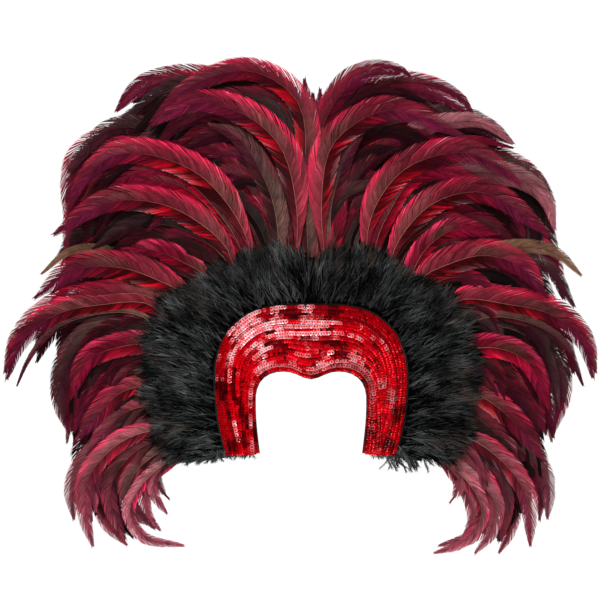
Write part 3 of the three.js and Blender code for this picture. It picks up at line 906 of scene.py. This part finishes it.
def add_fluff(pile, rng, middle, barb, shine, brown, spacing=FLUFF_SPACING, thick=1.0):
    """One small black feather of the trim along a middle line."""
    u = np.linspace(0, 1, FLUFF_STEPS)
    count = int(distances(middle)[-1] / spacing)
    where = np.linspace(0.04, 1, count)
    base = read_off(where, u, middle)
    ahead = read_off(where, u, unit(np.gradient(middle, axis=0)))
    aside = unit(np.stack([-ahead[:, 2], np.zeros(count), ahead[:, 0]], -1))
    out = np.cross(ahead, aside)
    out *= np.sign(-out[:, 1])[:, None]
    shape = barb * (0.45 + 0.55 * np.sin(np.pi * np.clip(where * 0.8 + 0.1, 0, 1)))
    for sign in (-1, 1):
        reach = shape * (1 + 0.15 * rng.standard_normal(count))
        angle = np.radians(rng.normal(*FLUFF_ANGLE, count))
        rise = rng.normal(*FLUFF_RISE, count)
        forward, lateral = np.cos(angle) * reach, np.sin(angle) * reach * sign
        half = rng.uniform(*FLUFF_HALF_WIDTH, count) * thick
        stations = []
        for t, openness in FLUFF_STATIONS:
            place = base + ahead * (forward * t)[:, None] + aside * (lateral * bowed(t, BARB_BOW))[:, None]
            place = place + out * (rise * reach * t)[:, None]
            edge = aside * (half * openness)[:, None]
            stations += [place - edge, place + edge]
        end = base + ahead * (forward * 1.08)[:, None] + aside * lateral[:, None]
        end = end + out * (rise * reach * 1.1)[:, None]
        points = np.stack([*stations, end], 1).reshape(-1, 3)
        glow = np.clip(shine + locks(rng, count, *FLUFF_LOCK), 0, 1.5)[:, None, None]
        colors = mix(to_linear(FLUFF_COLOR), to_linear(FLUFF_SHINE), glow * FLUFF_LIGHTS[None, :, None])
        colors = mix(colors, to_linear(FLUFF_BROWN), brown * smoothstep(where, 0.5, 1)[:, None, None])
        rows = np.arange(count)[:, None] * 5
        pile.add(points, colors.reshape(-1, 3), rows + [0, 1, 3, 2], rows + [2, 3, 4])


def make_trim_core(material):
    """The trim's dark inside, which no light gets through."""
    stations = np.linspace(0, CORE_END, CORE_STATIONS)
    near, far = BAND_OUTER_LINE.beside(stations, TRIM_GAP), TRIM_OUTER_LINE.point(stations)
    flat = mix(near[:, None], far[:, None], CORE_ACROSS[None, :, None])
    y = np.broadcast_to(CORE_Y, flat.shape[:2])
    rings = both_sides(np.stack([flat[..., 0], y, flat[..., 1]], -1))
    points = rings.reshape(-1, 3)
    core = Pile()
    core.add(points, np.tile(to_linear(CORE_COLOR), (len(points), 1)), ring_quads(len(rings), len(CORE_Y)))
    piece = core.build("trim_core", material, smooth=True)
    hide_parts("black_trim")


def make_trim_fluff(material):
    for word, side, *_ in SIDES:
        rng = np.random.default_rng(TRIM_SEED + side)
        gain, growth = SIDE_SHINE[side]
        pile = Pile()
        for i in range(TRIM_FEATHERS):
            layer = rng.uniform(0, 1)
            at = (i + rng.uniform(0, 1)) / TRIM_FEATHERS * TRIM_SPAN + TRIM_FIRST
            start, stop, height = (mix(deep, front, layer) + rng.uniform(least, most)
                                   for deep, front, least, most in (TRIM_START, TRIM_STOP, TRIM_HEIGHT))
            sway = TRIM_SWAY * (1 + math.sin(at * 61 + side) + math.sin(at * 23))
            sway += rng.normal(0, SWAY_SPREAD)
            low = smoothstep(at, *LOW_RISE)
            shine = SHINE_MIDDLE + SHINE_WAVE * math.sin(at * 47 + 2 * side) + rng.normal(0, SHINE_SPREAD)
            shine = (shine + LOW_SHINE * low) * gain + growth * at
            brown = BROWN_DEPTH * (rng.uniform() < BROWN_CHANCE)
            middle = trim_path(at, side, start, stop, height, sway)
            barb = rng.uniform(*FLUFF_BARB) * (1 - LOW_SHORTER * low)
            add_fluff(pile, rng, middle, barb, max(0, shine), brown)
        for _ in range(END_WISPS):
            middle = end_path(rng, side)
            barb, shine = rng.uniform(*WISP_BARB), rng.uniform(*WISP_SHINE)
            add_fluff(pile, rng, middle, barb, shine, 0, WISP_SPACING, WISP_THICK)
        piece = pile.build(f"trim_fluff_{word}", material)


BAND_CROWN = 3.0
BAND_EDGE_Y = -6.5
BAND_STATIONS = 61
BAND_COLUMNS = 13
BAND_WIDTH = 60
WEAVE_SCALE = 1600
WEAVE_LIGHT = (120, 2, 14)
WEAVE_DARK = (70, 0, 8)


def band_y(across):
    """The padded band's front over its width, 0 at the inner edge and 1 at the outer one."""
    return BAND_EDGE_Y - BAND_CROWN * (1 - np.abs(2 * across - 1) ** 3)


def band_slope(across):
    """The slope of that front, on a band that is BAND_WIDTH wide."""
    return 6 * BAND_CROWN * (2 * across - 1) * abs(2 * across - 1) / BAND_WIDTH


def band_material():
    surface = Surface("red_cloth", {"Roughness": 0.8, "Specular IOR Level": 0.05})
    threads = {"Color1": (*to_linear(WEAVE_LIGHT), 1), "Color2": (*to_linear(WEAVE_DARK), 1)}
    weave = surface.pattern("TexChecker", {"Scale": WEAVE_SCALE, **threads})
    surface.link(weave, "Color", surface.shader, "Base Color")
    return surface.material


def make_band(material):
    share = np.linspace(0, 1, BAND_STATIONS)
    across = np.linspace(0, 1, BAND_COLUMNS)
    inner, outer = BAND_INNER_LINE.point(share), BAND_OUTER_LINE.point(share)
    flat = mix(inner[:, None], outer[:, None], across[None, :, None])
    front = np.broadcast_to(band_y(across), flat.shape[:2])
    rear = np.full(flat.shape[:2], -BACKING_THICK - GAP)
    face, back = (np.stack([flat[..., 0], y, flat[..., 1]], -1) for y in (front, rear))
    rings = both_sides(np.concatenate([face, back[:, ::-1]], 1))
    size = rings.shape[1]
    quads = [ring_quads(len(rings), size)]
    columns = np.arange(BAND_COLUMNS - 1)
    for first in (0, (len(rings) - 1) * size):
        near, far = first + columns, first + size - 1 - columns
        quads.append(np.stack([near, near + 1, far - 1, far], -1))
    points = rings.reshape(-1, 3)
    pile = Pile()
    pile.add(points, np.ones((len(points), 3)), np.concatenate(quads))
    piece = pile.build("padded_band", material, smooth=True)
    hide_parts("sequin_band")


# A cup sequin's rings, as [radius, depth, how near they are to its rim].
SEQUIN_RINGS = [[0.6, -0.6, 0], [1.9, -0.1, 0.25], [2.9, 0.35, 1]]
SEQUIN_SIDES = 10
SEQUIN_STEP = 3.5
SEQUIN_SEED = 90
SEQUIN_RED = (252, 0, 22)
# The sequins' red, and the pale pink of their painted highlight.
SEQUIN_HIGHLIGHT = (255, 186, 192)

# The threads that they are sewn along wander a little, and those in the middle of the band dip to its peak.
EDGE_ROWS = 5
ROW_PITCH = 5.1
ROW_WANDER, WANDER_LENGTH = 1.1, 29
PEAK_DIP, PEAK_REACH = 0.9, 34
END_ROW_STEPS = 40

# Where the sequins lie turned up to the light and where they lie turned away from it, in the front plane.
# Those turned up are also painted lighter, with a painted highlight on their rims, and those turned away are
# painted darker. The columns are x, z and how far the place reaches.
TURNED_UP = [
    [-10, 34, 10], [-24, -24, 9], [44, -16, 10], [-44, 46, 10], [-84, 30, 12], [-120, -50, 8], [-4, 4, 10],
    [-66, 38, 19], [-30, 12, 12], [36, 14, 11], [-96, 14, 15], [-112, -14, 13], [-5, 50, 12], [8, 22, 14],
    [-58, -28, 12], [20, -22, 15], [58, -16, 11], [70, -32, 13], [84, -56, 12], [90, -84, 8],
    [110, -70, 7], [-78, -104, 8], [-74, -134, 9], [-46, 20, 16], [-66, -2, 12],
]
TURNED_AWAY = [
    [-90, -90, 18], [-86, -130, 15], [-24, 38, 13], [38, -6, 17], [80, -122, 14], [104, -135, 12],
    [28, 48, 12], [-40, -4, 14], [-112, -60, 16], [82, -98, 10], [118, -96, 9],
]
UP_RISE = (0.4, 0.7)
AWAY_RISE = (0.5, 0.8)

# What turns them: ripples along a row, a random part for the row and for the single sequin, the roll of the
# rows over each other and the tilt of each sequin on the one before. PLACE_JITTER is how far one is off.
RIPPLE = 0.3
ROW_TURN = 0.25
TURN_JITTER = 0.16
ROW_ROLL = 0.22
OVERLAP_TILT = 0.25
PLACE_JITTER = 0.12

# Their painted light and shade, which stand in for what they reflect: for a row, for a single one, from the
# viewer's left to the right, from low to high, and a painted shade at a sequin's middle.
ROW_LIGHT = (0.6, 1.6)
SINGLE_LIGHT = (0.65, 1.4)
LEFT_LIGHT, RIGHT_LIGHT, LIGHT_SPAN = 1.1, 0.72, (-40, 110)
LOW_LIGHT, HIGH_LIGHT, HEIGHT_SPAN = 0.95, 1.18, (-50, 10)
CENTRE_LIGHT = 0.3


def sequin_material():
    surface = Surface("sequins", {"Metallic": 0.35, "Roughness": 0.2, "Specular IOR Level": 0.08,
                                  "Coat Weight": 0.03, "Coat Roughness": 0.1})
    surface.link(surface.tint(), "Color", surface.shader, "Base Color")
    return surface.material


def sequin_rows():
    """The threads that the sequins are sewn along, from the left arm's end to the right one's, each as
    places in the front plane, how far across the band they are, and which of them carry sequins."""
    half = np.linspace(0, 1, 300)
    inner, outer = BAND_INNER_LINE.point(half), BAND_OUTER_LINE.point(half)
    mirror = np.array([-1, 1])
    inner = np.concatenate([inner[:0:-1] * mirror, inner])
    outer = np.concatenate([outer[:0:-1] * mirror, outer])
    width = np.linalg.norm(outer - inner, axis=1)
    everywhere = np.ones(len(width), bool)
    walk = distances(mix(inner, outer, 0.5)) / WANDER_LENGTH
    rows = []
    for number in range(EDGE_ROWS):
        aside = (number + 0.5) * ROW_PITCH
        for edge in (0, 1):
            wander = ROW_WANDER * min(number, 2) / 2 * np.sin(walk + 2 * number + 3 * edge)
            rows.append((abs(edge - (aside + wander) / width), everywhere))
    spare = width - 2 * EDGE_ROWS * ROW_PITCH
    for number in range(int(spare.max() / ROW_PITCH)):
        aside = (EDGE_ROWS + number + 0.5) * ROW_PITCH
        dip = PEAK_DIP * number * np.exp(-(outer[:, 0] / PEAK_REACH)**2)
        wander = ROW_WANDER * np.sin(walk + 1.3 * number) + dip
        rows.append((1 - (aside + wander) / width, spare > (number + 0.75) * ROW_PITCH))
    rows = [(mix(inner, outer, across[:, None]), across, kept) for across, kept in rows]
    for end in (2, -3):
        across = np.linspace(0.06, 0.94, END_ROW_STEPS)
        rows.append((mix(inner[end], outer[end], across[:, None]), across, np.ones(END_ROW_STEPS, bool)))
    return rows


def cup_sequin():
    """The points and faces of a cup sequin that faces along its second axis, with a hole in the middle, and
    how near each point is to its rim."""
    angle = np.arange(SEQUIN_SIDES) / SEQUIN_SIDES * 2 * math.pi
    points = [np.stack([np.cos(angle) * radius, np.full(SEQUIN_SIDES, depth), np.sin(angle) * radius], -1)
              for radius, depth, _ in SEQUIN_RINGS]
    rim = np.repeat([near for *_, near in SEQUIN_RINGS], SEQUIN_SIDES)[:, None]
    return np.concatenate(points), ring_quads(len(SEQUIN_RINGS), SEQUIN_SIDES), rim


def patches(table, here):
    return sum(math.exp(-((here[0] - x)**2 + (here[1] - z)**2) / reach**2) for x, z, reach in table)


def make_sequins(material):
    rng = np.random.default_rng(SEQUIN_SEED)
    disc, quads, rim = cup_sequin()
    pile = Pile()
    front = np.array([0, -1.0, 0])
    for flat, across, kept in sequin_rows():
        steps = distances(flat)
        places = np.arange(rng.uniform(0.5, 1) * SEQUIN_STEP, steps[-1] - 2, SEQUIN_STEP)
        places = places + rng.normal(0, PLACE_JITTER, len(places))
        places = places[np.interp(places, steps, kept) > 0.5]
        phase = rng.uniform(0, 6.3, 3)
        row_light = rng.uniform(*ROW_LIGHT)
        row_turn = rng.normal(0, ROW_TURN)
        for along in places:
            before, here, after = (read_off(place, steps, flat) for place in (along - 1, along, along + 1))
            share = float(np.interp(along, steps, across))
            ahead = unit(after - before)
            ripple = RIPPLE * (math.sin(along / 13 + phase[0]) + 0.9 * math.sin(along / 6 + phase[1]))
            jitter = rng.normal(0, TURN_JITTER)
            bright = float(smoothstep(patches(TURNED_UP, here) + ripple + row_turn + jitter, *UP_RISE))
            dark = float(smoothstep(patches(TURNED_AWAY, here) + ripple - row_turn + jitter, *AWAY_RISE))
            bright = bright * (1 - dark)
            forward = np.array([ahead[0], 0, ahead[1]])
            rise = -0.1 + 0.5 * bright - 0.1 * dark + rng.normal(0, 0.07)
            turn = 0.05 * math.sin(along / 31 + phase[2]) + rng.normal(0, 0.05)
            roll = (band_slope(share) + ROW_ROLL) * np.cross(front, forward)
            normal = unit(front + np.array([turn, 0, rise]) - roll - OVERLAP_TILT * forward)
            axis = unit(forward - normal * (forward @ normal))
            aside = np.cross(normal, axis)
            centre = np.array([here[0], band_y(share) - 1.0 + rng.normal(0, PLACE_JITTER), here[1]])
            size = rng.uniform(0.95, 1.03)
            points = centre + np.outer(disc[:, 0], axis) * size + np.outer(disc[:, 2], aside) * size
            points = points + np.outer(disc[:, 1], normal)
            # Painted reflection: a sequin's colour is lighter where it is turned up and darker where it is
            # turned away, by its row, by itself and by its place.
            light = (1.1 - 0.9 * dark + 0.5 * bright) * row_light * rng.uniform(*SINGLE_LIGHT)
            light *= mix(LEFT_LIGHT, RIGHT_LIGHT, float(smoothstep(here[0], *LIGHT_SPAN)))
            light *= mix(LOW_LIGHT, HIGH_LIGHT, float(smoothstep(here[1], *HEIGHT_SPAN)))
            # A painted highlight on the rims of sequins turned up to the light, in the pale pink colour.
            pale = rim * bright * rng.uniform(0.25, 1)
            tone = mix(to_linear(SEQUIN_RED) * mix(CENTRE_LIGHT, 1, rim), to_linear(SEQUIN_HIGHLIGHT), pale)
            pile.add(points, np.minimum(1, tone * light), quads)
    piece = pile.build("sequins", material)


FELT_COLOR = (28, 24, 24)
ELASTIC_COLOR = (26, 26, 29)


def felt_material():
    """Matt felt, whose colour and relief both vary with a fine noise."""
    surface = Surface("backing_felt", {"Roughness": 0.9})
    noise = surface.pattern("TexNoise", {"Scale": 260, "Detail": 6})
    surface.color_by(noise, to_linear(FELT_COLOR) * 0.6, to_linear(FELT_COLOR) * 1.5)
    surface.relief_by(noise, 0.9, 0.0006)
    return surface.material


def elastic_material():
    """Woven elastic, with ribs along its length."""
    surface = Surface("strap_elastic", {"Roughness": 0.7, "Specular IOR Level": 0.2})
    ribs = surface.pattern("TexWave", {"Scale": 130, "Distortion": 0.4})
    ribs.bands_direction = "Z"
    surface.color_by(ribs, to_linear(ELASTIC_COLOR) * 0.5, to_linear(ELASTIC_COLOR) * 2.2)
    surface.relief_by(ribs, 0.7, 0.0008)
    return surface.material


def dress_frame(nodes):
    """Cloth for the CAD meshes that stay in sight."""
    for name, material in (("backing_plate", felt_material()), ("elastic_strap", elastic_material())):
        mesh = nodes[name].data
        mesh.materials.clear()
        mesh.materials.append(material)


CAMERA_X, CAMERA_Z = -0.01485, 0.06075
CAMERA_BACK = 6.0
VIEW_WIDTH = 0.81
SENSOR_WIDTH = 36
FLOOR_Z = -0.46
FLOOR_RADIUS = 1.6
FLOOR_SIDES = 96
FLOOR_LIGHT = (0.88, 0.93)
AMBIENT = 0.26
BACKGROUND = 1.05

# Soft lights, each with its place, the point that it faces, its size and its power, in metres and watts.
LIGHTS = {
    "key": ((-0.4, -2.4, 2.8), (0, 0, 0.05), (1.4, 1.0), 98),
    "front_left": ((-1.1, -3.6, 0.9), (0, 0, 0), (0.8, 0.8), 24),
    "front_right": ((1.3, -3.4, 0.3), (0, 0, 0), (0.7, 0.7), 16),
    "rear_left": ((-1.6, 2.6, 1.5), (0, 0, 0), (1.2, 1.0), 44),
    "rear_right": ((1.8, 2.4, 0.6), (0, 0, 0), (1.0, 1.0), 26),
}


def make_stage():
    """A round pale floor, which ends before it comes into the picture."""
    surface = Surface("studio_floor", {"Roughness": 0.9, "Specular IOR Level": 0.1})
    noise = surface.pattern("TexNoise", {"Scale": 3})
    surface.color_by(noise, *([light] * 3 for light in FLOOR_LIGHT))
    turn = np.linspace(0, 2 * math.pi, FLOOR_SIDES, endpoint=False)
    points = [(FLOOR_RADIUS * math.cos(a), FLOOR_RADIUS * math.sin(a), FLOOR_Z) for a in turn]
    mesh = bpy.data.meshes.new("studio_floor")
    mesh.from_pydata(points, [], [list(range(FLOOR_SIDES))])
    mesh.materials.append(surface.material)
    add_object("studio_floor", mesh)


def add_light(name, place, target, size, power):
    light = bpy.data.lights.new(name, "AREA")
    light.shape = "RECTANGLE"
    light.size, light.size_y = size
    light.energy = power
    lamp = add_object(name, light)
    lamp.location = place
    lamp.rotation_euler = (Vector(target) - Vector(place)).to_track_quat("-Z", "Y").to_euler()


def make_world():
    """A white background that lights the scene less than it shows."""
    world = bpy.data.worlds.new("studio")
    world.use_nodes = True
    nodes, links = world.node_tree.nodes, world.node_tree.links
    sky = fill(nodes["Background"], {"Color": (1, 1, 1, 1)})
    seen = nodes.new("ShaderNodeLightPath")
    strength = fill(nodes.new("ShaderNodeMapRange"), {"To Min": AMBIENT, "To Max": BACKGROUND})
    links.new(seen.outputs["Is Camera Ray"], strength.inputs["Value"])
    links.new(strength.outputs["Result"], sky.inputs["Strength"])
    bpy.context.scene.world = world


def make_camera():
    """The photograph's view, from far off and straight in front."""
    camera = bpy.data.cameras.new("camera")
    camera.sensor_width = SENSOR_WIDTH
    camera.lens = SENSOR_WIDTH * CAMERA_BACK / VIEW_WIDTH
    camera.clip_end = 50
    eye = add_object("camera", camera)
    eye.location = (CAMERA_X, -CAMERA_BACK, CAMERA_Z)
    eye.rotation_euler = (math.pi / 2, 0, 0)
    bpy.context.scene.camera = eye


def main():
    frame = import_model()
    bpy.context.scene.view_settings.view_transform = "Standard"
    make_world()
    for name, row in LIGHTS.items():
        add_light(name, *row)
    make_camera()
    make_stage()
    feathers = tinted_material("coque_feather", FEATHER_NOISE, 0.05)
    make_long_feathers(feathers)
    make_extra_feathers(feathers)
    make_under_feathers(feathers)
    fluff = tinted_material("black_fluff", FLUFF_NOISE, 0.015)
    make_trim_core(fluff)
    make_trim_fluff(fluff)
    make_band(band_material())
    make_sequins(sequin_material())
    dress_frame(frame["nodes"])
    bpy.context.view_layer.update()


main()
